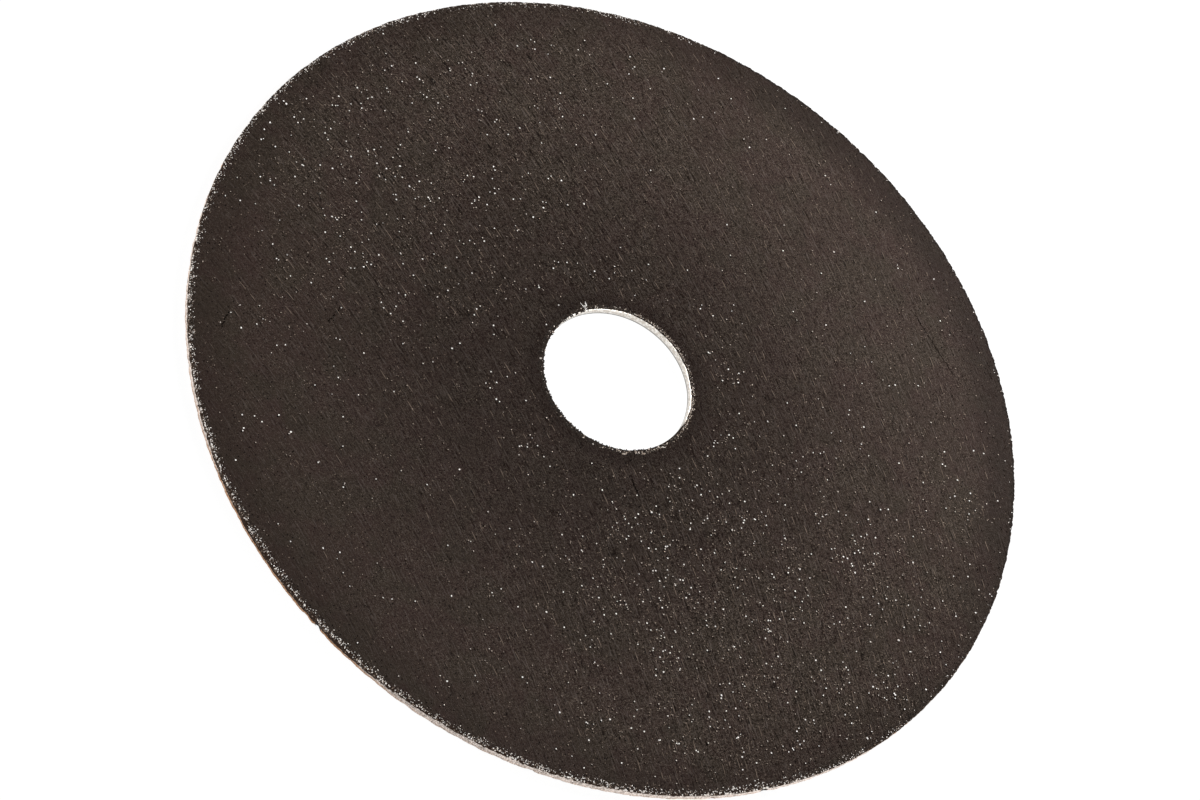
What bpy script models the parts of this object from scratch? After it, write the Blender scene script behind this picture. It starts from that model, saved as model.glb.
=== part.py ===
"""Cut-off wheel, 125 mm across, 1.6 mm thick, for a 22.23 mm arbor.

A thin flat disc of abrasive grain, resin and glass cloth, moulded in one piece, with a
pressed steel ring set in its bore. Metres, +Z up. The wheel lies flat with its axis on
Z, and the origin is at the centre of its underside. The ring's flange faces down, in a
shallow recess, so that both faces of the wheel stay flat.
"""

import math

import bmesh
import bpy

# Abrasive wheel
WHEEL_DIAMETER = 0.1250
WHEEL_THICKNESS = 0.0016
RIM_CORNER_RADIUS = 0.0004
HOLE_EDGE_BREAK = 0.00015

# Steel ring: a collar through the bore and a flange under the wheel, one pressing
BORE_DIAMETER = 0.02223
RING_SHEET = 0.00025
RING_BEND_INSIDE = 0.00015
RING_FLANGE_WIDTH = 0.0048
COLLAR_DROP = 0.0001

# Fit between the ring and the wheel, all round
SEAT_GAP = 0.00015

# Facets of the turned shapes
FACETS = 120
CORNER_STEPS = 3
BEND_STEPS = 4
SHARP_ANGLE = math.radians(35)

# Colours as linear values
ABRASIVE_COLOUR = (0.048, 0.036, 0.029, 1.0)
STEEL_COLOUR = (0.62, 0.59, 0.55, 1.0)


def clear_scene():
    """Remove the objects that a new file starts with."""
    for old in list(bpy.data.objects):
        bpy.data.objects.remove(old, do_unlink=True)


def make_material(name, colour, roughness, metallic):
    """Plain finish for one kind of material."""
    material = bpy.data.materials.new(name)
    material.use_nodes = True
    shader = material.node_tree.nodes["Principled BSDF"]
    shader.inputs["Base Color"].default_value = colour
    shader.inputs["Roughness"].default_value = roughness
    shader.inputs["Metallic"].default_value = metallic
    return material


def arc(centre, radius, start, end, steps):
    """Points of an arc in the plane of radius and height, angles in degrees."""
    points = []
    for step in range(steps + 1):
        angle = math.radians(start + (end - start) * step / steps)
        points.append((centre[0] + radius * math.cos(angle), centre[1] + radius * math.sin(angle)))
    return points


def turned_object(name, section, material, parent):
    """Object made by turning a closed section, given as (radius, height), about Z."""
    shape = bmesh.new()
    corners = [shape.verts.new((radius, 0.0, height)) for radius, height in section]
    sides = [shape.edges.new((corners[i - 1], corners[i])) for i in range(len(corners))]
    bmesh.ops.spin(
        shape,
        geom=corners + sides,
        cent=(0.0, 0.0, 0.0),
        axis=(0.0, 0.0, 1.0),
        angle=2 * math.pi,
        steps=FACETS,
        use_merge=True,
    )
    bmesh.ops.recalc_face_normals(shape, faces=shape.faces)
    mesh = bpy.data.meshes.new(name)
    shape.to_mesh(mesh)
    shape.free()
    mesh.materials.append(material)
    mesh.shade_smooth()
    mesh.set_sharp_from_angle(angle=SHARP_ANGLE)
    piece = bpy.data.objects.new(name, mesh)
    bpy.context.collection.objects.link(piece)
    piece.parent = parent
    return piece


def wheel_section():
    """Section of the moulded disc: flat faces, rounded rim, and the ring's recess below."""
    rim = WHEEL_DIAMETER / 2
    corner = RIM_CORNER_RADIUS
    hole = BORE_DIAMETER / 2 + RING_SHEET + SEAT_GAP
    recess = BORE_DIAMETER / 2 + RING_FLANGE_WIDTH + SEAT_GAP
    recess_floor = RING_SHEET + SEAT_GAP
    lower_corner = arc((rim - corner, corner), corner, -90, 0, CORNER_STEPS)
    upper_corner = arc((rim - corner, WHEEL_THICKNESS - corner), corner, 0, 90, CORNER_STEPS)
    hole_edge = [
        (hole + HOLE_EDGE_BREAK, WHEEL_THICKNESS),
        (hole, WHEEL_THICKNESS - HOLE_EDGE_BREAK),
    ]
    recess_step = [
        (hole, recess_floor),
        (recess, recess_floor),
        (recess, 0.0),
    ]
    return lower_corner + upper_corner + hole_edge + recess_step


def ring_section():
    """Section of the pressed ring: one sheet, bent from the collar into the flange."""
    bore = BORE_DIAMETER / 2
    top = WHEEL_THICKNESS - COLLAR_DROP
    bend = (bore + RING_SHEET + RING_BEND_INSIDE, RING_SHEET + RING_BEND_INSIDE)
    outside_of_bend = arc(bend, RING_SHEET + RING_BEND_INSIDE, 180, 270, BEND_STEPS)
    inside_of_bend = arc(bend, RING_BEND_INSIDE, 270, 180, BEND_STEPS)
    collar_top = [(bore + RING_SHEET, top), (bore, top)]
    flange_edge = [(bore + RING_FLANGE_WIDTH, 0.0), (bore + RING_FLANGE_WIDTH, RING_SHEET)]
    return collar_top + outside_of_bend + flange_edge + inside_of_bend


clear_scene()
wheel_frame = bpy.data.objects.new("cut_off_wheel", None)
bpy.context.collection.objects.link(wheel_frame)
abrasive = make_material("bonded_abrasive", ABRASIVE_COLOUR, 0.75, 0.0)
steel = make_material("bright_steel", STEEL_COLOUR, 0.3, 1.0)
turned_object("abrasive_wheel", wheel_section(), abrasive, wheel_frame)
turned_object("bore_ring", ring_section(), steel, wheel_frame)
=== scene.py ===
"""A cut off wheel for an angle grinder, lying flat on a white studio table.

The wheel is a pressed disc of brown grit and resin over glass cloth, with a pressed steel ring in
its bore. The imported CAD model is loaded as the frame, and the finished pieces are built onto it.
"""

import math
import random

import bmesh
import bpy
from mathutils import Matrix, Quaternion, Vector, noise
from mathutils.bvhtree import BVHTree


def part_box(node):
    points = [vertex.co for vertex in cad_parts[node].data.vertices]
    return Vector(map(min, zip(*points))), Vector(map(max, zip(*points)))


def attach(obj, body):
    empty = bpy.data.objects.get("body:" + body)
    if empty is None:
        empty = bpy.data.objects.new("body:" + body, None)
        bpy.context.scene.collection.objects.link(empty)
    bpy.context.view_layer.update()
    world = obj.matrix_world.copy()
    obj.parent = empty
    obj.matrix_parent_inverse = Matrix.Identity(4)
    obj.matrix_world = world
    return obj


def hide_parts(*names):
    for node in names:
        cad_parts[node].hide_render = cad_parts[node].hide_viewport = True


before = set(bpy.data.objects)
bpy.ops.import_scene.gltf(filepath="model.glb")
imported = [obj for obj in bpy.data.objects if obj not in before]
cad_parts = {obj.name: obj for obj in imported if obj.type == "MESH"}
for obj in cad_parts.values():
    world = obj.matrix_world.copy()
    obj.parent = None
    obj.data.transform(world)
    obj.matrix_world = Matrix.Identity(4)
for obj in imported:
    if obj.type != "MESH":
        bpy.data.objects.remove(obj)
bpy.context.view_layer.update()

# The abrasive wheel is brown grit in phenolic resin between two glass cloths, hot pressed flat.
# Its faces take the print of the cloth as rows of fine ridges, about 3 mm apart both ways, and
# its rim and the edge of its hole are left as they come from the mould, rough and grainy.

MM = 0.001
wheel_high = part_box("abrasive_wheel")[1]
WHEEL_RADIUS = wheel_high.x
WHEEL_THICKNESS = wheel_high.z
FACE_SKIN = 0.08 * MM  # the grit stands this far proud of the pressed body
RIM_SKIN = 0.05 * MM
BODY_RADIUS = WHEEL_RADIUS - RIM_SKIN
BODY_TOP = WHEEL_THICKNESS - FACE_SKIN
BODY_BOTTOM = 0.03 * MM
HOLE_RADIUS = 11.515 * MM
RECESS_RADIUS = 16.065 * MM
RECESS_CEILING = 0.40 * MM

THREAD_PITCH = 2.95 * MM
THREAD_SLOPE = 0.53  # threads run down to the right across the face
THREAD_CURVE = 3.0  # and bend, more steeply to the right, by this much per metre
THREAD_ANGLE = -math.atan(THREAD_SLOPE)
NEAR_X, NEAR_Y = -0.47, -0.88  # which way the near side lies, the one with the barest grit


def thread_place(x, y):
    """Distance along and across the threads of the pressed cloth at a point of the face."""
    lean = math.cos(THREAD_ANGLE)
    across = lean * (y + THREAD_SLOPE * x + THREAD_CURVE * x * x)
    along = lean * (x - THREAD_SLOPE * y)
    return along, across


def cloth_relief(x, y, side):
    """How far the face stands above or below flat: cloth print, grit lumps and slow waves."""
    along, across = thread_place(x, y)
    row = math.cos(2 * math.pi * across / THREAD_PITCH)
    column = math.cos(2 * math.pi * along / THREAD_PITCH + math.pi * round(across / THREAD_PITCH))
    weave = 0.008 * row * (0.6 + 0.4 * column)
    strands = 0.016 * noise.noise(Vector((along / (1.9 * MM), across / (0.62 * MM), side)))
    lumps = 0.010 * noise.noise(Vector((x, y, side * MM)) / (1.1 * MM))
    waves = 0.012 * noise.noise(Vector((x, y, side * MM)) / (9 * MM))
    return (weave + strands + lumps + waves) * MM


def flat_grid(mesh, height, cell_along, cell_across, inner, outer):
    """A grid laid along the threads and trimmed to the ring between two radii."""
    size = WHEEL_RADIUS
    lay = Matrix.Translation((0, 0, height)) @ Matrix.Rotation(THREAD_ANGLE, 4, "Z")
    made = bmesh.ops.create_grid(
        mesh,
        x_segments=round(2 * size / cell_along),
        y_segments=round(2 * size / cell_across),
        size=size,
        matrix=lay,
    )
    outside = [v for v in made["verts"] if not inner < v.co.xy.length < outer]
    bmesh.ops.delete(mesh, geom=outside, context="VERTS")


def turned_ring(mesh, section, steps):
    """Draws a ring of the wheel from a circle, one edge loop for each radius and height."""
    corners = bmesh.ops.create_circle(mesh, segments=steps, radius=1.0)["verts"]
    loop = list(dict.fromkeys(edge for corner in corners for edge in corner.link_edges))
    for number, (radius, height) in enumerate(section):
        if number:
            drawn = bmesh.ops.extrude_edge_only(mesh, edges=loop)["geom"]
            corners = {part for part in drawn if isinstance(part, bmesh.types.BMVert)}
            edges = [part for part in drawn if isinstance(part, bmesh.types.BMEdge)]
            loop = [edge for edge in edges if corners.issuperset(edge.verts)]
        for vertex in corners:
            outward = vertex.co.xy.normalized() * radius
            vertex.co = (outward.x, outward.y, height)


def join_loops(mesh, height, inner, outer):
    """Fills the gap between a grid's stepped edge and a spun ring's round edge."""
    gap = [
        e
        for e in mesh.edges
        if e.is_boundary
        and all(abs(v.co.z - height) < 1e-6 and inner < v.co.xy.length < outer for v in e.verts)
    ]
    bmesh.ops.triangle_fill(mesh, use_beauty=True, edges=gap, normal=(0, 0, 1))


RIM_STEPS = 1400
HOLE_STEPS = 360
RIM_BAND = 0.75 * MM  # how far the fine mesh of the rim runs in from its wall
HOLE_BAND = 0.6 * MM  # and that of the hole runs out
LIP_RADIUS = 11.27 * MM  # a thin lip of resin runs over the top of the steel collar
RIM_ROUNDING = 0.16 * MM
NICK_BEARING = math.radians(-98.8)  # a nick in the foot of the rim

wheel = bmesh.new()
flat_grid(wheel, BODY_TOP, 1.0 * MM, 0.25 * MM, HOLE_RADIUS + 2 * HOLE_BAND, BODY_RADIUS - 2 * RIM_BAND)
flat_grid(wheel, BODY_BOTTOM, 1.4 * MM, 0.45 * MM, RECESS_RADIUS + HOLE_BAND, BODY_RADIUS - 2 * RIM_BAND)

corner = [
    (
        BODY_RADIUS - RIM_ROUNDING * (1 - math.sin(math.radians(angle))),
        RIM_ROUNDING * (1 - math.cos(math.radians(angle))),
    )
    for angle in (0, 30, 60, 90)
]
rim_section = [(BODY_RADIUS - RIM_BAND, BODY_TOP)]
rim_section += [(radius, BODY_TOP - drop) for radius, drop in corner]
rim_section += [(BODY_RADIUS, BODY_BOTTOM + share * (BODY_TOP - BODY_BOTTOM)) for share in (0.6, 0.4)]
rim_section += [(radius, BODY_BOTTOM + drop) for radius, drop in reversed(corner)]
rim_section += [(BODY_RADIUS - RIM_BAND, BODY_BOTTOM)]
turned_ring(wheel, rim_section, RIM_STEPS)

hole_section = [
    (RECESS_RADIUS + 0.3 * MM, BODY_BOTTOM),
    (RECESS_RADIUS, BODY_BOTTOM + 0.05 * MM),
    (RECESS_RADIUS, RECESS_CEILING),
    (HOLE_RADIUS + 0.1 * MM, RECESS_CEILING),
    (HOLE_RADIUS, RECESS_CEILING + 0.1 * MM),
    (HOLE_RADIUS, BODY_TOP - 0.6 * MM),
    (HOLE_RADIUS, BODY_TOP - 0.3 * MM),
    (HOLE_RADIUS, BODY_TOP - 0.014 * MM),
    (LIP_RADIUS, BODY_TOP - 0.014 * MM),
    (LIP_RADIUS, BODY_TOP + 0.03 * MM),
    (HOLE_RADIUS, BODY_TOP),
    (HOLE_RADIUS + HOLE_BAND, BODY_TOP),
]
turned_ring(wheel, hole_section, HOLE_STEPS)

join_loops(wheel, BODY_TOP, 40 * MM, WHEEL_RADIUS)
join_loops(wheel, BODY_TOP, HOLE_RADIUS, 20 * MM)
join_loops(wheel, BODY_BOTTOM, 40 * MM, WHEEL_RADIUS)
join_loops(wheel, BODY_BOTTOM, RECESS_RADIUS, 20 * MM)
bmesh.ops.recalc_face_normals(wheel, faces=wheel.faces)

for vertex in wheel.verts:
    x, y, z = vertex.co
    radius = vertex.co.xy.length
    place = vertex.co / MM
    if z > BODY_TOP - 1e-6 and radius > HOLE_RADIUS - 1e-6:
        vertex.co.z += cloth_relief(x, y, 1)
    elif z < BODY_BOTTOM + 1e-6:
        vertex.co.z -= 0.6 * cloth_relief(x, y, 9)
    if radius > BODY_RADIUS - 2 * RIM_ROUNDING:
        outward = vertex.co.xy.normalized().to_3d()
        nick = max(0, 1 - abs(math.atan2(y, x) - NICK_BEARING) * radius / (0.8 * MM)) * (z < 1.0 * MM)
        far_side = max(0, 0.5 * x + 0.87 * y) / radius
        rough = (0.07 + 0.16 * far_side) * noise.noise(place / 0.36) + 0.12 * noise.noise(place / 1.4)
        chip = max(0, noise.noise(place / 2.1 + Vector((0, 0, 7))) - 0.40)
        vertex.co += outward * min(WHEEL_RADIUS - radius, (rough - 0.5 * chip - 0.4 * nick) * MM)
        if z > BODY_BOTTOM + 0.05 * MM:
            vertex.co.z += 0.03 * noise.noise(place / 0.35 + Vector((5, 0, 0))) * MM
    if radius < HOLE_RADIUS - 0.1 * MM:
        outward = vertex.co.xy.normalized().to_3d()
        near_side = 0.5 - 0.5 * y / radius
        rough = 0.10 * noise.noise(place / 0.45) + 0.12 * noise.noise(place / 1.2)
        vertex.co += outward * (0.4 + near_side) * rough * MM

FACE_FINISH, EDGE_FINISH = 0, 1
for face in wheel.faces:
    raw_rim = face.calc_center_median().xy.length > BODY_RADIUS - 0.13 * MM
    face.smooth = not raw_rim
    face.material_index = EDGE_FINISH if raw_rim else FACE_FINISH

pressed_skin = BVHTree.FromBMesh(wheel)
wheel_mesh = bpy.data.meshes.new("abrasive_body")
wheel.to_mesh(wheel_mesh)
wheel.free()
abrasive_body = bpy.data.objects.new("abrasive_body", wheel_mesh)
bpy.context.collection.objects.link(abrasive_body)


def put(tree, kind, values=None, **settings):
    """Adds a shader node. Values go on its inputs, and a value that is a socket is linked."""
    made = tree.nodes.new("ShaderNode" + kind)
    for name, value in settings.items():
        setattr(made, name, value)
    for name, value in (values or {}).items():
        if isinstance(value, bpy.types.NodeSocket):
            tree.links.new(value, made.inputs[name])
        else:
            made.inputs[name].default_value = value
    return made


def calc(tree, operation, *values):
    """A Math node's output for one, two or three values or sockets."""
    return put(tree, "Math", dict(enumerate(values)), operation=operation).outputs[0]


def ease(tree, value, start, end, low=0.0, high=1.0):
    """Turns a value smoothly from low at start to high at end."""
    ends = {"Value": value, "From Min": start, "From Max": end, "To Min": low, "To Max": high}
    return put(tree, "MapRange", ends, interpolation_type="SMOOTHSTEP").outputs["Result"]


def new_group(name, inputs, outputs):
    """A shader node group with named number inputs and outputs, and its two end nodes."""
    group = bpy.data.node_groups.new(name, "ShaderNodeTree")
    for title, value in inputs.items():
        socket = group.interface.new_socket(title, in_out="INPUT", socket_type="NodeSocketFloat")
        socket.default_value = value
    for title in outputs:
        group.interface.new_socket(title, in_out="OUTPUT", socket_type="NodeSocketFloat")
    start = group.nodes.new("NodeGroupInput")
    end = group.nodes.new("NodeGroupOutput")
    return group, start, end


# The grit group draws packed grains: a tone for each grain, its rounded height, and fine dust.
grit, grit_in, grit_out = new_group("packed_grit", {"Grain Size": 0.3}, ["Tone", "Height", "Dust"])
grit_place = put(grit, "TexCoord").outputs["Object"]
per_metre = calc(grit, "DIVIDE", 1000.0, grit_in.outputs["Grain Size"])
grains = put(grit, "TexVoronoi", {"Vector": grit_place, "Scale": per_metre, "Randomness": 1.0})
grain_tone = put(grit, "SeparateColor", {"Color": grains.outputs["Color"]}).outputs["Red"]
dust = put(grit, "TexNoise", {"Vector": grit_place, "Scale": 7400.0, "Detail": 1.0, "Roughness": 0.75})
grit.links.new(grain_tone, grit_out.inputs["Tone"])
grit.links.new(ease(grit, grains.outputs["Distance"], 0.75, 0.1), grit_out.inputs["Height"])
grit.links.new(dust.outputs["Fac"], grit_out.inputs["Dust"])


def use_grit(tree, grain_size):
    """Places the grit group with a grain size in millimetres."""
    made = put(tree, "Group", node_tree=grit)
    made.inputs["Grain Size"].default_value = grain_size
    return made.outputs


def new_material(name, roughness, metallic=0.0, specular=0.5):
    """A material with one Principled shader."""
    material = bpy.data.materials.new(name)
    material.use_nodes = True
    shader = material.node_tree.nodes["Principled BSDF"]
    shader.inputs["Roughness"].default_value = roughness
    shader.inputs["Metallic"].default_value = metallic
    shader.inputs["Specular IOR Level"].default_value = specular
    return material, material.node_tree, shader


def mix(tree, share, first, second):
    """Lays the second colour over the first, by a share."""
    made = put(tree, "Mix", {0: share}, data_type="RGBA")
    for slot, value in ((6, first), (7, second)):
        if isinstance(value, bpy.types.NodeSocket):
            tree.links.new(value, made.inputs[slot])
        else:
            made.inputs[slot].default_value = value
    return made.outputs[2]


RESIN_BROWN = (0.0330, 0.0210, 0.0155, 1)
RESIN_RED = (0.0348, 0.0199, 0.0161, 1)
RESIN_OLIVE = (0.0311, 0.0215, 0.0150, 1)
RESIN_DARK = (0.0036, 0.0021, 0.0014, 1)
RESIN_SHADE = (0.0100, 0.0050, 0.0033, 1)
RESIN_LIGHT = (0.1180, 0.0890, 0.0700, 1)
SPECK_TAN = (0.170, 0.138, 0.110, 1)
THREAD_TAN = (0.098, 0.077, 0.066, 1)

face_finish, tree, shader = new_material("pressed_grit_face", roughness=0.5, specular=0.055)
place = put(tree, "TexCoord").outputs["Object"]
axes = put(tree, "SeparateXYZ", {0: place}).outputs
squares = [calc(tree, "MULTIPLY", axes[number], axes[number]) for number in (0, 1)]
radius = calc(tree, "SQRT", calc(tree, "ADD", *squares))
slant = calc(tree, "MULTIPLY_ADD", squares[0], THREAD_CURVE, calc(tree, "MULTIPLY", axes[0], THREAD_SLOPE))
across = calc(tree, "ADD", axes[1], slant)
along = calc(tree, "MULTIPLY_ADD", axes[1], -THREAD_SLOPE, axes[0])
hair_place = {
    0: calc(tree, "MULTIPLY", along, math.cos(THREAD_ANGLE) / (2.1 * MM)),
    1: calc(tree, "MULTIPLY", across, math.cos(THREAD_ANGLE) / (0.25 * MM)),
    2: axes[2],
}
hair_place = put(tree, "CombineXYZ", hair_place).outputs[0]
hairs = put(tree, "TexNoise", {"Vector": hair_place, "Scale": 1.0, "Detail": 1.0})
hair = ease(tree, hairs.outputs["Fac"], 0.58, 0.69)
# dark grooves beside the pale hairs: sunk in the bump, and darkened in colour as painted shade
groove_shadow = ease(tree, hairs.outputs["Fac"], 0.42, 0.31)
mottles = put(tree, "TexNoise", {"Vector": place, "Scale": 210.0, "Detail": 2.0})
wander = calc(tree, "MULTIPLY", mottles.outputs["Fac"], 7.0)
turns = calc(tree, "MULTIPLY_ADD", across, 2 * math.pi * math.cos(THREAD_ANGLE) / THREAD_PITCH, wander)
in_row = ease(tree, calc(tree, "COSINE", turns), -0.6, 0.8, 0.3, 0.9)
hues = put(tree, "TexNoise", {"Vector": place, "Scale": 170.0, "Detail": 2.0})
patches = put(tree, "TexNoise", {"Vector": place, "Scale": 190.0, "Detail": 2.0})
patch = ease(tree, patches.outputs["Fac"], 0.38, 0.60, 0.66, 1.0)
near_side = calc(tree, "MULTIPLY_ADD", axes[0], NEAR_X, calc(tree, "MULTIPLY", axes[1], NEAR_Y))
lively = calc(
    tree,
    "MULTIPLY",
    ease(tree, near_side, 0.0, 62 * MM, 0.96, 0.42),
    ease(tree, near_side, 0.0, -55 * MM, 1.0, 0.60),
)
lively = calc(tree, "MULTIPLY", lively, ease(tree, radius, 53 * MM, 61 * MM, 1.0, 0.85))
patch = calc(tree, "MULTIPLY", patch, lively)
in_row = calc(tree, "MULTIPLY", in_row, lively)
grain = use_grit(tree, 0.20)
clump = use_grit(tree, 0.26)
pits = calc(tree, "MULTIPLY", ease(tree, clump["Tone"], 0.94, 0.96), ease(tree, clump["Height"], 0.35, 0.8))
tone = mix(tree, ease(tree, mottles.outputs["Fac"], 0.3, 0.7), RESIN_BROWN, RESIN_RED)
tone = mix(tree, ease(tree, hues.outputs["Fac"], 0.45, 0.62), tone, RESIN_OLIVE)
low_dust = calc(tree, "MULTIPLY", ease(tree, grain["Dust"], 0.50, 0.30), patch)
high_dust = calc(tree, "MULTIPLY", ease(tree, grain["Dust"], 0.50, 0.70), patch)
tone = mix(tree, low_dust, tone, RESIN_DARK)
tone = mix(tree, high_dust, tone, RESIN_LIGHT)
dark_grain = calc(tree, "MULTIPLY", ease(tree, grain["Tone"], 0.0, 0.42, 0.64, 0.0), lively)
tone = mix(tree, dark_grain, tone, RESIN_DARK)
stroke_place = put(tree, "VectorMath", {0: hair_place, 1: (0.4, 0.3, 1.0)}, operation="MULTIPLY").outputs[0]
strokes = put(tree, "TexNoise", {"Vector": stroke_place, "Scale": 1.0, "Detail": 1.0}).outputs["Fac"]
stroke = calc(tree, "MULTIPLY", ease(tree, strokes, 0.57, 0.70, 0.0, 0.14), lively)
# the grooves darken as painted shade, the strokes as darker tone of the resin
groove_shadow_and_stroke = calc(tree, "MAXIMUM", calc(tree, "MULTIPLY", groove_shadow, in_row), stroke)
tone = mix(tree, groove_shadow_and_stroke, tone, RESIN_DARK)
tone = mix(tree, calc(tree, "MULTIPLY", hair, in_row), tone, THREAD_TAN)
bulge = calc(tree, "POWER", grain["Height"], 1.5)
specks = calc(tree, "MULTIPLY", ease(tree, grain["Tone"], 0.6, 1.0), bulge)
tone = mix(tree, calc(tree, "MULTIPLY", specks, patch), tone, SPECK_TAN)
shade_place = put(tree, "VectorMath", {0: place, 1: (1.9 * MM, 3.5 * MM, 0)})
shade_place = put(tree, "SeparateXYZ", {0: shade_place.outputs[0]}).outputs
shade_squares = [calc(tree, "MULTIPLY", shade_place[number], shade_place[number]) for number in (0, 1)]
from_shade = calc(tree, "SQRT", calc(tree, "ADD", *shade_squares))
hole_shade = ease(tree, from_shade, 49.0 * MM, 13.0 * MM, 0.0, 0.51)
hole_shade = calc(tree, "MAXIMUM", hole_shade, ease(tree, radius, 17 * MM, 12.5 * MM, 0.0, 0.72))
rim_share = ease(tree, near_side, -25 * MM, -56 * MM, 0.26, 0.58)
rim_shade = ease(tree, radius, 54.5 * MM, 60.5 * MM, 0.0, rim_share)
tone = mix(tree, calc(tree, "MAXIMUM", hole_shade, rim_shade), tone, RESIN_SHADE)
lip_share = ease(tree, near_side, -38 * MM, -24 * MM, 0.0, 0.12)
lip_shade = ease(tree, radius, 61.45 * MM, 61.65 * MM, 0.0, lip_share)
far_share = ease(tree, near_side, -36 * MM, -50 * MM, 0.0, 0.8)
far_edge = ease(tree, radius, 62.08 * MM, 62.24 * MM, 0.0, far_share)
lip_shade = calc(tree, "MAXIMUM", lip_shade, far_edge)
tone = mix(tree, calc(tree, "MAXIMUM", pits, lip_shade), tone, RESIN_DARK)
tree.links.new(tone, shader.inputs["Base Color"])
dull = calc(tree, "MAXIMUM", low_dust, dark_grain)
dull = calc(tree, "MAXIMUM", dull, calc(tree, "MAXIMUM", pits, groove_shadow_and_stroke))
tree.links.new(ease(tree, dull, 0.1, 0.7, 0.5, 1.0), shader.inputs["Roughness"])
height = calc(tree, "MULTIPLY_ADD", hair, 0.8, calc(tree, "MULTIPLY", grain["Height"], 0.6))
height = calc(tree, "MULTIPLY_ADD", groove_shadow, -0.8, height)
height = calc(tree, "MULTIPLY_ADD", grain["Dust"], 1.8, height)
height = calc(tree, "MULTIPLY", calc(tree, "MULTIPLY_ADD", pits, -2.0, height), lively)
bump = put(tree, "Bump", {"Strength": 1.0, "Distance": 0.08 * MM, "Height": height})
tree.links.new(bump.outputs[0], shader.inputs["Normal"])

EDGE_TAR = (0.0260, 0.0150, 0.0095, 1)
EDGE_SAND = (0.330, 0.250, 0.195, 1)
CLOTH_PALE = (0.920, 0.840, 0.790, 1)
CLOTH_DULL = (0.620, 0.510, 0.440, 1)
SCORCH = (0.470, 0.255, 0.135, 1)

edge_finish, tree, shader = new_material("raw_grit_edge", roughness=0.7, specular=0.05)
place = put(tree, "TexCoord").outputs["Object"]
axes = put(tree, "SeparateXYZ", {0: place}).outputs
# The low half of the wall is paler on the sides that the left and low right lamps light: the pale cloth
# reaches higher there and the scorch is thinner, painted light over the real cloth, while the unlit lower
# left keeps its scorch.
low = ease(tree, axes[1], -0.22 * WHEEL_RADIUS, -0.42 * WHEEL_RADIUS)
to_right = ease(tree, axes[0], -0.10 * WHEEL_RADIUS, 0.15 * WHEEL_RADIUS)
to_left = ease(tree, axes[1], -0.90 * WHEEL_RADIUS, -0.74 * WHEEL_RADIUS, 0.0, 0.7)
cloth_and_lit_side = calc(tree, "MULTIPLY", low, calc(tree, "MAXIMUM", to_right, to_left))
grain = use_grit(tree, 0.30)
fine = use_grit(tree, 0.14)
bulge = calc(tree, "POWER", grain["Height"], 1.5)
pale = calc(tree, "MULTIPLY", ease(tree, grain["Tone"], 0.5, 1.0), bulge)
tone = mix(tree, pale, EDGE_TAR, EDGE_SAND)
cloth = mix(tree, ease(tree, fine["Dust"], 0.35, 0.65), CLOTH_DULL, CLOTH_PALE)
frays = put(tree, "TexNoise", {"Vector": place, "Scale": 1500.0, "Detail": 2.0}).outputs["Fac"]
lift = calc(tree, "MULTIPLY_ADD", cloth_and_lit_side, 0.70 * MM, 0.15 * MM)
cloth_top = calc(tree, "MULTIPLY_ADD", frays, 0.8 * MM, lift)
cloth_foot = calc(tree, "SUBTRACT", cloth_top, 0.12 * MM)
cloth_share = ease(tree, grain["Tone"], 0.1, 0.5, 0.55, 0.97)
tone = mix(tree, ease(tree, axes[2], cloth_top, cloth_foot, 0.0, cloth_share), tone, cloth)
scorched = ease(tree, axes[2], 0.66 * MM, 0.36 * MM, 0.0, calc(tree, "MULTIPLY_ADD", cloth_and_lit_side, -0.75, 0.95))
tone = mix(tree, scorched, tone, SCORCH)
tree.links.new(tone, shader.inputs["Base Color"])
height = calc(tree, "ADD", grain["Height"], calc(tree, "MULTIPLY", fine["Height"], 0.4))
bump = put(tree, "Bump", {"Strength": 1.0, "Distance": 0.08 * MM, "Height": height})
tree.links.new(bump.outputs[0], shader.inputs["Normal"])

abrasive_body.data.materials.append(face_finish)
abrasive_body.data.materials.append(edge_finish)

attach(abrasive_body, "root")
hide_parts("abrasive_wheel")

# Loose-looking grains lie in the skin of the upper face: clear to white crystals, each sunk to its
# shoulders. The white ones also stand in for glints as painted highlights, so they sit in drifts,
# thickest to the right and left of the hole where the light catches, each with a painted shadow beside it.

chance = random.Random(31)


def build_stones(name, stones, smooth=False):
    """One piece made of many small stones, each given as its place, size, turn and tone."""
    heap, mesh = bmesh.new(), bpy.data.meshes.new(name)
    for start in range(0, len(stones), 250):
        batch = bmesh.new()
        tone = batch.verts.layers.float.new("tone")
        for place, size, turn, shade in stones[start : start + 250]:
            lay = Matrix.LocRotScale(place, turn, size)
            corners = bmesh.ops.create_icosphere(batch, subdivisions=1, radius=0.5, matrix=lay)["verts"]
            for corner in corners:
                corner[tone] = shade
                corner.co = place + (corner.co - place) * chance.uniform(0.78, 1.12)
        batch.to_mesh(mesh)
        batch.free()
        heap.from_mesh(mesh)
    for face in heap.faces:
        face.smooth = smooth
    heap.to_mesh(mesh)
    heap.free()
    piece = bpy.data.objects.new(name, mesh)
    bpy.context.collection.objects.link(piece)
    return piece


def any_turn():
    """A turn in any direction, for a stone."""
    return Quaternion([chance.gauss(0, 1) for _ in range(4)]).normalized()


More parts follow.
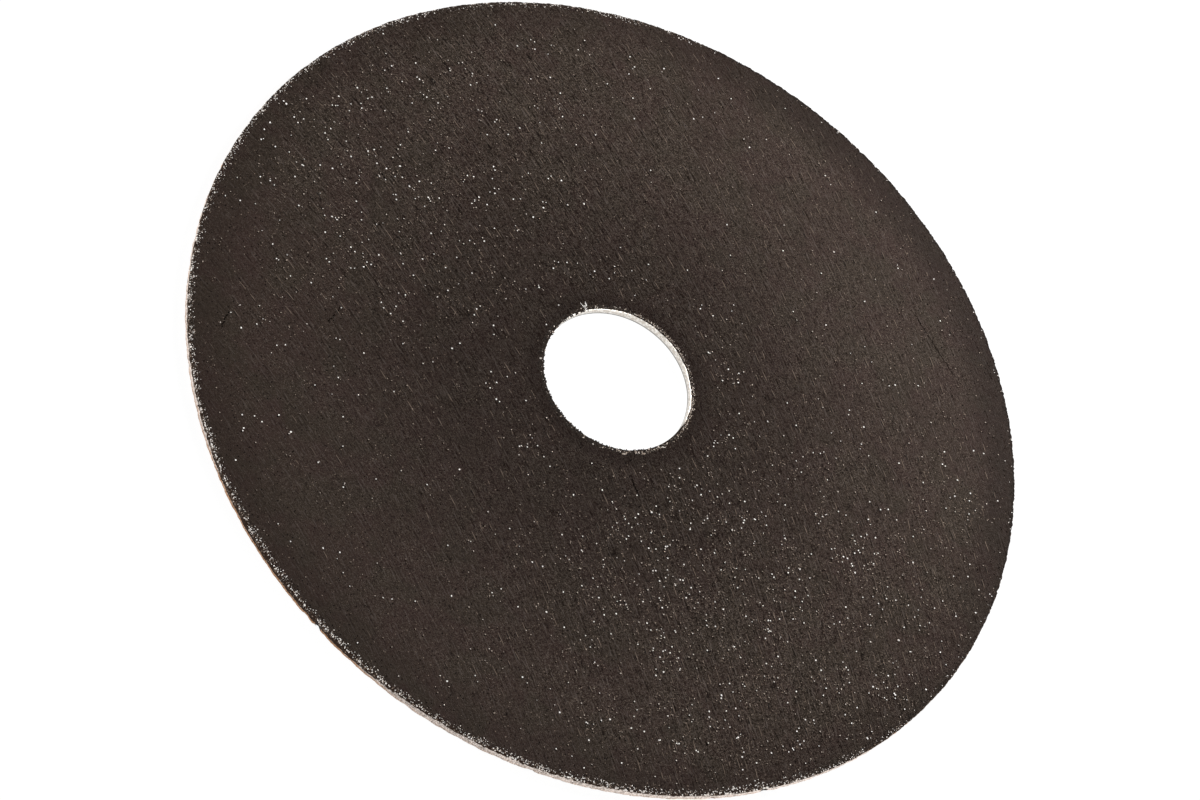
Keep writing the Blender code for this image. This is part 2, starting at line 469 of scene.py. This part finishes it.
def grain_and_glint_density(x, y, base):
    """How thickly grains lie at a point of the face. The drifts by the hole gather the white grains as
    painted glints. The base is their share outside the drifts.
    """
    bearing = math.degrees(math.atan2(y, x))
    radius = math.hypot(x, y) / MM
    right = math.exp(-(((bearing + 22) / 42) ** 2))
    left = math.exp(-(((abs(bearing - 174) if bearing > -6 else 186 + bearing) / 37) ** 2))
    near_rim = min(1, max(0, (radius - 55) / 5))
    near_hole = max(0, 1 - abs(radius - 31) / 14)
    inner = 1.7 * math.exp(-(((bearing + 44) / 19) ** 2)) * near_hole
    clouds = noise.noise(Vector((x, y, 0)) / (7 * MM))
    clumps = noise.noise(Vector((x, y, 0.01)) / (1.6 * MM))
    open_face = min(1, max(0.2, (radius - 12) / 12))
    by_bore = 0.30 * max(0, 1 - abs(radius - 18) / 5)
    by_bore += 1.5 * math.exp(-((x / MM - 13.2) ** 2 + (y / MM - 12.5) ** 2) / 7)
    thinned = 1 - (0.55 - 0.35 * right) * near_rim
    thick = (base + 0.95 * right + 0.58 * left + inner) * thinned * open_face + by_bore
    return thick * max(0.15, 1 + 1.3 * clouds) * max(0.06, 1 + 2.6 * clumps)


def seat(x, y):
    """The height of the pressed skin at a point of the upper face."""
    return pressed_skin.ray_cast(Vector((x, y, 3 * MM)), Vector((0, 0, -1)))[0].z


GRAINS_ON_FACE = 8400
face_grains = []
grain_shadows_and_scratches = []
while len(face_grains) < GRAINS_ON_FACE:
    x, y = (chance.uniform(-1, 1) * WHEEL_RADIUS for _ in range(2))
    radius = math.hypot(x, y)
    level = min(1.0, 0.33 + chance.expovariate(1 / 0.20))
    size = chance.uniform(0.10, 0.165) * MM * (1 + 0.6 * level)
    if chance.random() < 0.07:
        level, size = 1.0, chance.uniform(0.26, 0.38) * MM
    if not HOLE_RADIUS + 0.5 * MM < radius < BODY_RADIUS - 1.2 * MM:
        continue
    if chance.random() * 2.5 > grain_and_glint_density(x, y, 0.09 if level > 0.5 else 0.42):
        continue
    lengths = Vector((size, size * chance.uniform(0.75, 1.0), 0.7 * size))
    stand = min(seat(x, y), WHEEL_THICKNESS - 0.4 * size)
    turn = Matrix.Rotation(chance.uniform(0, 6.3), 3, "Z").to_quaternion()
    face_grains.append((Vector((x, y, stand)), lengths, turn, level))
    if level > 0.48:
        # a painted shadow beside each pale grain: a flat dark stone on its lower side
        beside = Vector((x - 0.1 * size, y - 0.85 * size, stand))
        grain_shadows_and_scratches.append((beside, Vector((1.5 * size, 1.2 * size, 0.32 * size)), turn, 0.0))

# Five short dark scratches: where each starts, how far it runs along X and Y, and its width, in mm.
for x, y, across, down, width in (
    (-35.3, -24.2, 0.0, 3.3, 0.24),
    (-45.5, -35.7, -0.4, 2.6, 0.28),
    (9.9, -11.5, 2.6, -1.6, 0.20),
    (26.8, 44.4, 10.3, -4.4, 0.11),
    (-43.7, 1.2, 0.8, -0.3, 0.34),
):
    turn = Matrix.Rotation(math.atan2(down, across), 3, "Z").to_quaternion()
    steps = round(math.hypot(across, down) / 0.22)
    for number in range(steps + 1):
        share = number / steps
        mark = Vector((x + share * across + chance.gauss(0, 0.08), y + share * down, 0)) * MM
        mark.y += chance.gauss(0, 0.06) * MM
        mark.z = seat(mark.x, mark.y) + chance.uniform(0.012, 0.03) * MM
        mark.z = min(mark.z, WHEEL_THICKNESS - 0.045 * MM)
        if chance.random() < 0.88:
            size = Vector((chance.uniform(0.26, 0.40), width * chance.uniform(0.6, 1.1), 0.07)) * MM
            grain_shadows_and_scratches.append((mark, size, turn, 0.0))
    if width > 0.22:
        mark.z = min(mark.z, WHEEL_THICKNESS - 0.09 * MM)
        face_grains.append((mark, Vector((0.24, 0.20, 0.14)) * MM, turn, 1.0))
face_grains_painted_glints = build_stones("face_grains_painted_glints", face_grains)
painted_grain_shadows_and_scratches = build_stones("painted_grain_shadows_and_scratches", grain_shadows_and_scratches)

stone_finish, tree, shader = new_material("grit_stones", roughness=0.3, specular=0.25)
tone = put(tree, "Attribute", attribute_name="tone").outputs["Fac"]
ramp = put(tree, "ValToRGB", {0: tone})
stops = ramp.color_ramp.elements
stops[0].color = (0.004, 0.0025, 0.0018, 1)
stops[1].color = (1.0, 0.96, 0.92, 1)
stops.new(0.25).color = (0.042, 0.029, 0.021, 1)
stops.new(0.45).color = (0.210, 0.155, 0.118, 1)
stops.new(0.70).color = (0.560, 0.470, 0.395, 1)
tree.links.new(ramp.outputs[0], shader.inputs["Base Color"])
tree.links.new(ease(tree, tone, 0.3, 0.6, 1.0, 0.3), shader.inputs["Roughness"])
face_grains_painted_glints.data.materials.append(stone_finish)

# one flat black finish for the painted grain shadows and the real dark scratches
shadow_and_scratch_finish, tree, shader = new_material("painted_shadows_and_scratches", roughness=1.0, specular=0.02)
shader.inputs["Base Color"].default_value = (0.004, 0.0025, 0.0018, 1)
painted_grain_shadows_and_scratches.data.materials.append(shadow_and_scratch_finish)

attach(face_grains_painted_glints, "root")
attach(painted_grain_shadows_and_scratches, "root")

# The yarns of the upper glass cloth lie just under the skin, and where one crosses over another it
# lifts a hairline ridge, about 2 mm long. The ridges follow the rows of the cloth over the face,
# and beside each lies a painted shadow, a flat dark stone.

ridges = []
lean = math.cos(THREAD_ANGLE)
for row in range(-34, 35):
    for between in (0, 0.5):
        start = -WHEEL_RADIUS + chance.uniform(0, 1) * THREAD_PITCH
        for number in range(48):
            x = start + number * THREAD_PITCH * lean + chance.gauss(0, 0.22) * MM
            y = (row + between) * THREAD_PITCH / lean - THREAD_SLOPE * x - THREAD_CURVE * x**2
            y += (0.35 * math.sin(x / (4.1 * MM) + row) + chance.gauss(0, 0.10)) * MM
            radius = math.hypot(x, y)
            near_side = (NEAR_X * x + NEAR_Y * y) / MM
            calm = max(0, near_side - 12) / 50 + max(0, -near_side - 45) / 40
            strength = 0.84 + 0.8 * noise.noise(Vector((x, y, 0.05)) / (12 * MM)) - 0.6 * between - calm
            if not HOLE_RADIUS + 2 * MM < radius < BODY_RADIUS - 2 * MM or chance.random() > strength:
                continue
            bearing = math.atan(-THREAD_SLOPE - 2 * THREAD_CURVE * x) + chance.gauss(0, 0.05)
            turn = Matrix.Rotation(bearing, 3, "Z").to_quaternion()
            length = chance.uniform(0.7, 2.5)
            beside = Vector((math.sin(bearing), -math.cos(bearing), 0)) * 0.13 * MM
            ridge = Vector((x, y, seat(x, y) - 0.015 * MM))
            ridges.append((ridge, Vector((length, 0.12, 0.10)) * MM, turn, chance.uniform(0.27, 0.41)))
            # a painted shadow beside each ridge: a flat dark stone, now and then wider and black
            groove_shadow = Vector((length * chance.uniform(0.6, 1.0), 0.13, 0.06)) * MM
            shade = chance.uniform(0.04, 0.16)
            if chance.random() < 0.3:
                groove_shadow, shade = Vector((min(1.3, length) * MM, 0.19 * MM, 0.09 * MM)), 0.0
            ridges.append((ridge + beside, groove_shadow, turn, shade))
thread_ridges = build_stones("thread_ridges", ridges, smooth=True)
thread_ridges.data.materials.append(stone_finish)

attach(thread_ridges, "root")

# At the rim the mould leaves coarser grains bare, white and sandy ones among them. They stand in
# the wall and along its upper corner, as crowded as gravel set in tar.

RIM_GRAINS = 9500


def any_size(smallest, largest):
    """The three lengths of a lumpy stone."""
    size = chance.uniform(smallest, largest) * MM
    return Vector((size, size * chance.uniform(0.7, 1.0), size * chance.uniform(0.7, 1.0)))


rim_grains = []
for number in range(RIM_GRAINS):
    bearing = chance.uniform(0, 2 * math.pi)
    bare = min(1, max(0, 1.35 + 2.6 * math.cos(bearing - math.radians(228))))  # all but the far side
    kind = chance.random()
    below = max(0, math.cos(bearing - math.radians(285)))
    level, size = chance.uniform(0.0, 0.12 + 0.10 * bare), any_size(0.16, 0.34)
    if kind < 0.04 + 0.42 * bare + 0.12 * below:
        level, size = chance.uniform(0.82, 1.0), any_size(0.24, 0.44)
    elif kind < 0.07 + 0.66 * bare + 0.14 * below:
        level = chance.uniform(0.32, 0.62)
    if number % 5 < 2:
        radius = WHEEL_RADIUS - 0.56 * size.x - 0.06 * (1 - bare) * MM
        height = chance.uniform(0.95 * MM, WHEEL_THICKNESS - 0.56 * size.x)
        if level > 0.6 and chance.random() < 0.6:
            height = WHEEL_THICKNESS - 0.6 * size.x
    else:
        radius = WHEEL_RADIUS - 0.7 * size.x - min(0.75, abs(chance.gauss(0, 0.36))) * MM
        height = WHEEL_THICKNESS - 0.58 * size.x
    place = Vector((radius * math.cos(bearing), radius * math.sin(bearing), height))
    rim_grains.append((place, size, any_turn(), level))
coarse_rim_grains = build_stones("coarse_rim_grains", rim_grains)
coarse_rim_grains.data.materials.append(stone_finish)

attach(coarse_rim_grains, "root")

# Round the hole the same grit runs on over the steel collar as a ragged lip of resin. It is thick
# and dark on the near side, and thin on the far side, with pale grains bare along its edge.

HOLE_GRAINS = 2600
LIP_REACH = 10.93 * MM  # no grain of the lip comes nearer to the wheel's axis

hole_grains = []
for number in range(HOLE_GRAINS):
    bearing = chance.uniform(0, 2 * math.pi)
    crust = min(1, max(0, 0.75 + 1.3 * math.cos(bearing - math.radians(236))))  # thick on the near side
    bare = max(0, math.cos(bearing - math.radians(332))) ** 4
    ragged = noise.noise(Vector((math.cos(bearing), math.sin(bearing), 0)) * 13)
    size = any_size(0.15, 0.28)
    if number % 2 and crust:
        size = Vector((chance.uniform(0.20, 0.52), chance.uniform(0.18, 0.36), 0.13)) * MM
        tooth = chance.uniform(0.15, 0.52) if chance.random() < 0.17 else chance.uniform(-0.30, 0.0)
        inward = crust * (0.06 + 0.35 * ragged + tooth) - 0.03
        radius = max(HOLE_RADIUS - inward * MM, LIP_REACH + 0.5 * size.x)
        turn = Matrix.Rotation(chance.uniform(0, 6.3), 3, "Z").to_quaternion()
        height = WHEEL_THICKNESS - 0.62 * size.z
        pale = chance.random() < 0.03 + 0.25 * bare
    else:
        outward = chance.uniform(0.02, 0.20) + abs(chance.gauss(0, 0.22 - 0.05 * crust))
        radius = LIP_RADIUS + outward * MM
        turn = any_turn()
        height = WHEEL_THICKNESS - 0.57 * size.x
        pale = chance.random() < 0.08 + 0.42 * (1 - crust) + 0.3 * bare
    level = chance.uniform(0.36, 0.85) if pale else chance.uniform(0.0, 0.2)
    place = Vector((radius * math.cos(bearing), radius * math.sin(bearing), height))
    hole_grains.append((place, size, turn, level))
hole_edge_grains = build_stones("hole_edge_grains", hole_grains)
hole_edge_grains.data.materials.append(stone_finish)

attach(hole_edge_grains, "root")

# A few glass fibres of the cloths are left sticking out where the hole and the rim were moulded.
# Each is a stiff white hair, a tenth of a millimetre thick, lying in a tuft with its neighbours.

TUFT_BEARING = math.radians(148.6)


def build_fibres(name, fibres):
    """One piece of straight hairs, each given as its middle, direction, length and tone."""
    heap = bmesh.new()
    tone = heap.verts.layers.float.new("tone")
    for place, direction, length, shade in fibres:
        lay = Matrix.Translation(place) @ direction.to_track_quat("Z", "Y").to_matrix().to_4x4()
        made = bmesh.ops.create_cone(
            heap,
            cap_ends=True,
            segments=5,
            radius1=0.05 * MM,
            radius2=0.035 * MM,
            depth=length,
            matrix=lay,
        )
        for corner in made["verts"]:
            corner[tone] = shade
    mesh = bpy.data.meshes.new(name)
    heap.to_mesh(mesh)
    heap.free()
    piece = bpy.data.objects.new(name, mesh)
    bpy.context.collection.objects.link(piece)
    return piece


fibres = []
for number in range(9):
    bearing = TUFT_BEARING + chance.gauss(0, 0.018)
    radius = HOLE_RADIUS + chance.uniform(-0.1, 0.75) * MM
    length = chance.uniform(0.35, 0.8) * MM
    away = Vector((math.cos(bearing), math.sin(bearing), 0))
    side = Vector((-away.y, away.x, 0))
    direction = away + side * chance.gauss(0.2, 0.7)
    direction.z = chance.uniform(-0.05, 0.05)
    place = away * radius
    place.z = WHEEL_THICKNESS - 0.09 * MM
    fibres.append((place, direction.normalized(), length, 1.0))
for number in range(40):
    bearing = chance.uniform(0, 2 * math.pi)
    away = Vector((math.cos(bearing), math.sin(bearing), 0))
    side = Vector((-away.y, away.x, 0))
    direction = (side + away * chance.gauss(0, 0.5)).normalized()
    place = away * (HOLE_RADIUS + chance.uniform(-0.05, 0.3) * MM)
    place.z = WHEEL_THICKNESS - 0.10 * MM
    fibres.append((place, direction, chance.uniform(0.3, 0.7) * MM, chance.uniform(0.0, 0.7)))
for number in range(140):
    bearing = chance.uniform(0, 2 * math.pi)
    away = Vector((math.cos(bearing), math.sin(bearing), 0))
    side = Vector((-away.y, away.x, 0))
    direction = (side + away * chance.gauss(0, 0.03) + Vector((0, 0, chance.gauss(0, 0.12)))).normalized()
    place = away * (BODY_RADIUS - 0.03 * MM)
    place.z = chance.choice((0.42, 1.12)) * MM + chance.gauss(0, 0.05) * MM
    fibres.append((place, direction, chance.uniform(0.3, 0.9) * MM, chance.uniform(0.3, 0.8)))
glass_fibre_ends = build_fibres("glass_fibre_ends", fibres)
glass_fibre_ends.data.materials.append(stone_finish)

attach(glass_fibre_ends, "root")

# The bore ring is thin steel, pressed to a collar with a flat flange, and plated a dull silver.
# The collar lines the hole and the flange lies in the recess below, held by the moulded resin.
# Its bend below the press line is painted brighter, a painted reflection of the white table,
# and a painted shadow runs as a grey line along the press line.

ring_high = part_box("bore_ring")[1]
BORE_RADIUS = 11.115 * MM
RING_SHEET = 0.25 * MM
RING_TOP = ring_high.z
FLANGE_RADIUS = ring_high.x
PRESS_LINE = 0.47 * MM

ring = bmesh.new()
bend_centre = (BORE_RADIUS + RING_SHEET + 0.15 * MM, 0.40 * MM)
outer_bend = [
    (
        bend_centre[0] - 0.40 * MM * math.cos(math.radians(angle)),
        bend_centre[1] - 0.40 * MM * math.sin(math.radians(angle)),
    )
    for angle in range(0, 91, 15)
]
inner_bend = [
    (
        bend_centre[0] - 0.15 * MM * math.cos(math.radians(angle)),
        bend_centre[1] - 0.15 * MM * math.sin(math.radians(angle)),
    )
    for angle in range(90, -1, -15)
]
EDGE = 0.05 * MM
ring_section = [(BORE_RADIUS + EDGE, RING_TOP), (BORE_RADIUS + 0.015 * MM, RING_TOP - 0.015 * MM)]
ring_section += [(BORE_RADIUS, RING_TOP - EDGE), (BORE_RADIUS, 1.1 * MM)]
ring_section += [(BORE_RADIUS, PRESS_LINE + 0.1 * MM)]
ring_section += [(BORE_RADIUS + 0.05 * MM, PRESS_LINE), (BORE_RADIUS, PRESS_LINE - 0.06 * MM)]
ring_section += outer_bend
ring_section += [(FLANGE_RADIUS - EDGE, 0.0), (FLANGE_RADIUS, EDGE)]
ring_section += [(FLANGE_RADIUS, RING_SHEET - EDGE), (FLANGE_RADIUS - EDGE, RING_SHEET)]
ring_section += inner_bend
ring_section += [(BORE_RADIUS + RING_SHEET, 1.1 * MM), (BORE_RADIUS + RING_SHEET, RING_TOP - EDGE)]
ring_section += [(BORE_RADIUS + RING_SHEET - EDGE, RING_TOP), (BORE_RADIUS + EDGE, RING_TOP)]
turned_ring(ring, ring_section, 240)
bmesh.ops.remove_doubles(ring, verts=ring.verts, dist=1e-7)
bmesh.ops.recalc_face_normals(ring, faces=ring.faces)
for face in ring.faces:
    face.smooth = True
ring_mesh = bpy.data.meshes.new("steel_bore_ring")
ring.to_mesh(ring_mesh)
ring.free()
steel_bore_ring = bpy.data.objects.new("steel_bore_ring", ring_mesh)
bpy.context.collection.objects.link(steel_bore_ring)

PAINTED_BEND_REFLECTION = (0.955, 0.95, 0.94, 1)
STEEL = (0.86, 0.83, 0.785, 1)
DULL_STEEL = (0.58, 0.53, 0.47, 1)
PRESS_LINE_SHADOW = (0.26, 0.255, 0.25, 1)
RESIN_SMEAR = (0.010, 0.0065, 0.0045, 1)

ring_finish, tree, shader = new_material("plated_ring_steel", roughness=0.34, metallic=1.0)
place = put(tree, "TexCoord").outputs["Object"]
axes = put(tree, "SeparateXYZ", {0: place}).outputs
speckle = put(tree, "TexNoise", {"Vector": place, "Scale": 3000.0, "Detail": 2.0}).outputs["Fac"]
wall = mix(tree, ease(tree, speckle, 0.42, 0.66), DULL_STEEL, STEEL)
# below the press line the bend is painted brighter steel, a painted reflection of the white table
tone = mix(tree, ease(tree, axes[2], PRESS_LINE - 0.1 * MM, PRESS_LINE), PAINTED_BEND_REFLECTION, wall)
# painted shadow: a grey line along the press line
line = calc(tree, "ABSOLUTE", calc(tree, "SUBTRACT", axes[2], PRESS_LINE))
tone = mix(tree, ease(tree, line, 0.13 * MM, 0.05 * MM), tone, PRESS_LINE_SHADOW)
near_top = ease(tree, axes[2], RING_TOP - 0.09 * MM, RING_TOP - 0.04 * MM)
smear = calc(tree, "MULTIPLY", near_top, ease(tree, axes[1], 4 * MM, 0.0))
tone = mix(tree, smear, tone, RESIN_SMEAR)
tree.links.new(tone, shader.inputs["Base Color"])
steel_bore_ring.data.materials.append(ring_finish)

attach(steel_bore_ring, "root")
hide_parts("bore_ring")

# The studio is a white table under soft lamps, seen by a long lens from above the wheel's near
# side, with the camera rolled so that the wheel's X axis runs down to the right of the picture.


def seen_directly(tree):
    """One for rays of the camera, of gloss and of glass, and nothing for rays that only light."""
    paths = put(tree, "LightPath").outputs
    bent = calc(tree, "MAXIMUM", paths["Is Glossy Ray"], paths["Is Transmission Ray"])
    return calc(tree, "MAXIMUM", paths["Is Camera Ray"], bent)


table = bmesh.new()
bmesh.ops.create_grid(table, x_segments=1, y_segments=1, size=3.0)
table_mesh = bpy.data.meshes.new("white_table")
table.to_mesh(table_mesh)
table.free()
white_table = bpy.data.objects.new("white_table", table_mesh)
white_table.location.z = -0.02 * MM
bpy.context.collection.objects.link(white_table)

table_finish = bpy.data.materials.new("white_table")
table_finish.use_nodes = True
tree = table_finish.node_tree
tree.nodes.remove(tree.nodes["Principled BSDF"])
seen = seen_directly(tree)
card = put(tree, "BsdfDiffuse", {"Color": mix(tree, seen, (0.80, 0.80, 0.80, 1), (0.13, 0.13, 0.13, 1))})
glow = put(tree, "Emission", {"Color": (1, 1, 1, 1), "Strength": calc(tree, "MULTIPLY", seen, 0.93)})
both = put(tree, "AddShader", {0: card.outputs[0], 1: glow.outputs[0]})
tree.links.new(both.outputs[0], tree.nodes["Material Output"].inputs["Surface"])
white_table.data.materials.append(table_finish)

ROOM_LEVEL = 0.212
room = bpy.data.worlds.new("white_room")
room.use_nodes = True
bpy.context.scene.world = room
tree = room.node_tree
background = tree.nodes["Background"].inputs
background["Color"].default_value = (1, 1, 1, 1)
strength = calc(tree, "MULTIPLY_ADD", seen_directly(tree), 1 - ROOM_LEVEL, ROOM_LEVEL)
tree.links.new(strength, background["Strength"])


def soft_lamp(name, bearing, elevation, distance, width, level):
    """A square lamp aimed at the wheel. Level is how bright it alone makes a white card there."""
    light = bpy.data.lights.new(name, "AREA")
    light.shape = "SQUARE"
    light.size = width
    light.energy = level * math.pi**2 * distance**2 / math.sin(math.radians(elevation))
    lamp = bpy.data.objects.new(name, light)
    bearing, elevation = math.radians(bearing), math.radians(elevation)
    sideways = math.cos(elevation)
    away = Vector((math.cos(bearing) * sideways, math.sin(bearing) * sideways, math.sin(elevation)))
    lamp.location = away * distance
    lamp.rotation_mode = "QUATERNION"
    lamp.rotation_quaternion = away.to_track_quat("Z", "Y")
    bpy.context.collection.objects.link(lamp)


soft_lamp("far_right_lamp", bearing=70, elevation=36, distance=0.22, width=0.12, level=0.60)
soft_lamp("left_lamp", bearing=194, elevation=10, distance=0.9, width=0.35, level=0.18)
soft_lamp("low_right_lamp", bearing=-20, elevation=10, distance=0.9, width=0.35, level=0.16)

CAMERA_TILT = math.radians(36.778)  # between the wheel's axis and the line of sight
CAMERA_ROLL = math.radians(39.729)
CAMERA_DISTANCE = 529.94 * MM
CAMERA_AIM = Vector((-0.034, -4.82, 1.6)) * MM
LENS = 114.35

back = Vector((0, -math.sin(CAMERA_TILT), math.cos(CAMERA_TILT)))
level_up = back.cross(Vector((1, 0, 0)))
right = Vector((math.cos(CAMERA_ROLL), 0, 0)) + level_up * math.sin(CAMERA_ROLL)
up = Vector((-math.sin(CAMERA_ROLL), 0, 0)) + level_up * math.cos(CAMERA_ROLL)
camera = bpy.data.objects.new("camera", bpy.data.cameras.new("camera"))
camera.data.lens = LENS
camera.data.sensor_width = 36
camera.data.sensor_fit = "HORIZONTAL"
camera.data.clip_start = 0.05
camera.data.clip_end = 20
turned = Matrix((right, up, back)).transposed().to_4x4()
camera.matrix_world = Matrix.Translation(CAMERA_AIM + back * CAMERA_DISTANCE) @ turned
bpy.context.collection.objects.link(camera)
bpy.context.scene.camera = camera
bpy.context.scene.view_settings.view_transform = "Standard"
